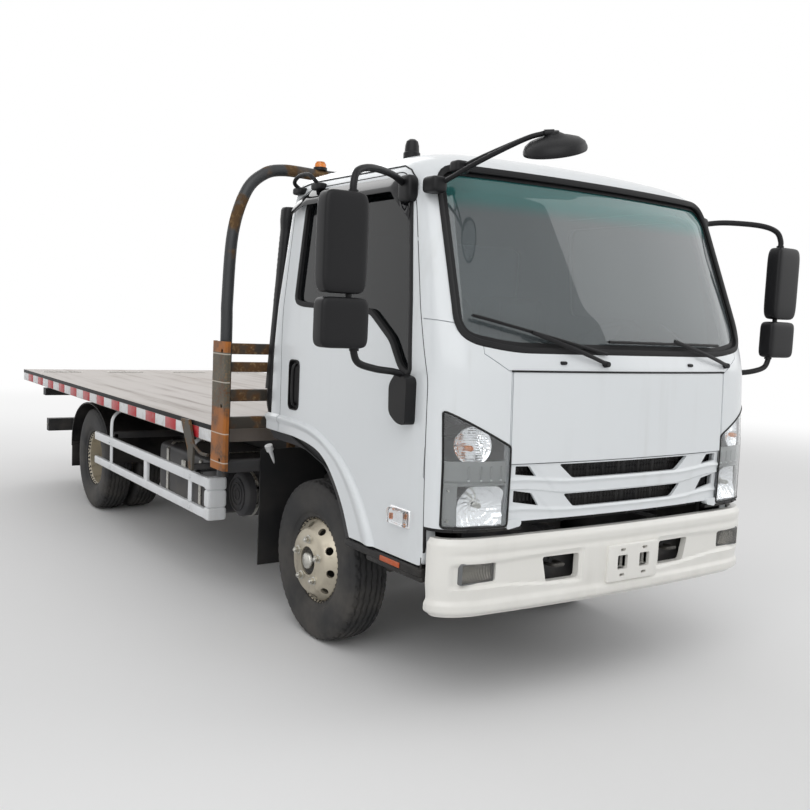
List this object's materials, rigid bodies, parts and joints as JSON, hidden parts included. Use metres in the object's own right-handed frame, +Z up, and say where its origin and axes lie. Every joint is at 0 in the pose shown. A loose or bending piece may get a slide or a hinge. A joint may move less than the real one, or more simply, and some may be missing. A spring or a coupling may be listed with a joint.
{
  "type": "flatbed truck",
  "caption": "Light cab-over truck with a tilting and sliding flat bed, twin rear wheels, side guards and a tilting cab.",
  "frame": {"origin": "on the ground under the middle of the truck's box", "axes": "+X to the truck's left, -Y the way it drives, +Z up"},
  "size_m": [2.8, 6.255, 2.365],
  "materials": {
    "tyre": "worn black rubber with a fine tread",
    "wheel_silver": "champagne silver paint",
    "dark_iron": "dark cast iron",
    "frame_black": "black chassis paint, dusty",
    "white_paint": "cool white gloss paint",
    "bumper_white": "cream white moulded skin",
    "glass": "tinted safety glass",
    "lamp_glass": "clear lamp glass over reflectors",
    "black_plastic": "grained black plastic",
    "dark_trim": "dark grey, satin",
    "seat_fabric": "woven grey cloth",
    "rusty_brown": "worn dark paint with rust",
    "guard_orange": "worn orange and brown-grey paint",
    "amber_lens": "amber lens",
    "deck_paint": "light grey-beige steel plate with red and white edge stripes",
    "chrome": "polished cylinder rod"
  },
  "bodies": {
    "chassis": {"frame_rails": "frame_black", "front_axle": "frame_black", "rear_axle": "frame_black", "engine": "dark_iron", "front_bumper": "bumper_white", "fog_lamp_right": "lamp_glass", "fog_lamp_left": "lamp_glass", "headboard": "rusty_brown", "post_guard_right": "guard_orange", "post_guard_left": "guard_orange", "marker_lamp": "amber_lens", "fuel_tank": "dark_trim", "battery_box": "dark_trim", "side_guard_right": "white_paint", "side_guard_left": "white_paint", "rear_mudguard_right": "black_plastic", "rear_mudguard_left": "black_plastic", "front_mudflap_right": "black_plastic", "front_mudflap_left": "black_plastic"},
    "knuckle_right": {"steering_knuckle_right": "dark_iron"},
    "knuckle_left": {"steering_knuckle_left": "dark_iron"},
    "tie_rod_body": {"tie_rod": "dark_iron"},
    "wheel_front_right": {"tyre_front_right": "tyre", "rim_front_right": "wheel_silver"},
    "wheel_front_left": {"tyre_front_left": "tyre", "rim_front_left": "wheel_silver"},
    "wheel_rear_right": {"tyre_rear_outer_right": "tyre", "tyre_rear_inner_right": "tyre", "rims_rear_right": "wheel_silver"},
    "wheel_rear_left": {"tyre_rear_outer_left": "tyre", "tyre_rear_inner_left": "tyre", "rims_rear_left": "wheel_silver"},
    "cab": {"cab_shell": "white_paint", "windscreen": "glass", "rear_window": "glass", "grille": "white_paint", "headlamp_right": "lamp_glass", "headlamp_left": "lamp_glass", "step_right": "black_plastic", "step_left": "black_plastic", "front_mirror": "black_plastic", "seats": "seat_fabric", "dashboard": "dark_trim"},
    "front_lid": {"service_lid": "white_paint"},
    "door_right": {"door_panel_right": "white_paint", "door_glass_right": "glass", "door_mirror_right": "black_plastic"},
    "door_left": {"door_panel_left": "white_paint", "door_glass_left": "glass", "door_mirror_left": "black_plastic"},
    "steering": {"steering_wheel": "dark_trim"},
    "tilt_body": {"tilt_frame": "frame_black", "tail_lamp_bar": "dark_trim"},
    "bed_body": {"bed": "deck_paint"},
    "barrel_right": {"tilt_barrel_right": "dark_trim"},
    "barrel_left": {"tilt_barrel_left": "dark_trim"},
    "rod_right": {"tilt_rod_right": "chrome"},
    "rod_left": {"tilt_rod_left": "chrome"}
  },
  "joints": [
    {"name": "steer_left", "type": "hinge", "parent": "chassis", "child": "knuckle_left", "pos_m": [0.66, -1.7225, 0.3875], "axis": [0, 0, 1], "range_deg": [-32, 32]},
    {"name": "steer_right", "type": "hinge", "parent": "chassis", "child": "knuckle_right", "pos_m": [-0.66, -1.7225, 0.3875], "axis": [0, 0, 1], "range_deg": [-32, 32]},
    {"name": "tie_rod_pin", "type": "hinge", "parent": "knuckle_left", "child": "tie_rod_body", "pos_m": [0.66, -1.5825, 0.3127], "axis": [0, 0, 1], "range_deg": [-32, 32]},
    {"name": "roll_front_right", "type": "hinge", "parent": "knuckle_right", "child": "wheel_front_right", "pos_m": [-0.752, -1.7225, 0.3875], "axis": [1, 0, 0], "continuous": true},
    {"name": "roll_front_left", "type": "hinge", "parent": "knuckle_left", "child": "wheel_front_left", "pos_m": [0.752, -1.7225, 0.3875], "axis": [1, 0, 0], "continuous": true},
    {"name": "roll_rear_right", "type": "hinge", "parent": "chassis", "child": "wheel_rear_right", "pos_m": [-0.7125, 1.6375, 0.3875], "axis": [1, 0, 0], "continuous": true},
    {"name": "roll_rear_left", "type": "hinge", "parent": "chassis", "child": "wheel_rear_left", "pos_m": [0.7125, 1.6375, 0.3875], "axis": [1, 0, 0], "continuous": true},
    {"name": "steering_turn", "type": "hinge", "parent": "cab", "child": "steering", "pos_m": [0.46, -2.2425, 1.46], "axis": [0, 0.6157, 0.788], "range_deg": [-576, 576]},
    {"name": "cab_tilt", "type": "hinge", "parent": "chassis", "child": "cab", "pos_m": [0, -2.8225, 0.68], "axis": [1, 0, 0], "range_deg": [0, 45]},
    {"name": "lid_lift", "type": "hinge", "parent": "cab", "child": "front_lid", "pos_m": [0, -2.8985, 1.375], "axis": [-1, 0, 0], "range_deg": [0, 60]},
    {"name": "door_swing_right", "type": "hinge", "parent": "cab", "child": "door_right", "pos_m": [-0.925, -2.7125, 1.3], "axis": [0, 0, 1], "range_deg": [0, 70]},
    {"name": "door_swing_left", "type": "hinge", "parent": "cab", "child": "door_left", "pos_m": [0.925, -2.7125, 1.3], "axis": [0, 0, -1], "range_deg": [0, 70]},
    {"name": "bed_tilt", "type": "hinge", "parent": "chassis", "child": "tilt_body", "pos_m": [0, 2.6275, 0.68], "axis": [-1, 0, 0], "range_deg": [0, 15.2]},
    {"name": "bed_slide", "type": "slide", "parent": "tilt_body", "child": "bed_body", "axis": [0, 1, 0], "range_m": [0, 2.8]},
    {"name": "barrel_pin_right", "type": "hinge", "parent": "chassis", "child": "barrel_right", "pos_m": [-0.2, 1.2775, 0.58], "axis": [-1, 0, 0], "range_deg": [0, 31]},
    {"name": "barrel_pin_left", "type": "hinge", "parent": "chassis", "child": "barrel_left", "pos_m": [0.2, 1.2775, 0.58], "axis": [-1, 0, 0], "range_deg": [0, 31]},
    {"name": "rod_stroke_right", "type": "slide", "parent": "barrel_right", "child": "rod_right", "axis": [0, -0.9889, 0.1483], "range_m": [0, 0.2]},
    {"name": "rod_stroke_left", "type": "slide", "parent": "barrel_left", "child": "rod_left", "axis": [0, -0.9889, 0.1483], "range_m": [0, 0.2]}
  ],
  "couplings": [
    {"joint": "steer_right", "follows": "steer_left", "ratio": 1},
    {"joint": "tie_rod_pin", "follows": "steer_left", "ratio": -1},
    {"joint": "steering_turn", "follows": "steer_left", "ratio": 17},
    {"joint": "barrel_pin_right", "follows": "bed_tilt", "ratio": 2},
    {"joint": "barrel_pin_left", "follows": "bed_tilt", "ratio": 2},
    {"joint": "rod_stroke_right", "follows": "bed_tilt", "m_per_rad": 0.638},
    {"joint": "rod_stroke_left", "follows": "bed_tilt", "m_per_rad": 0.638}
  ]
}
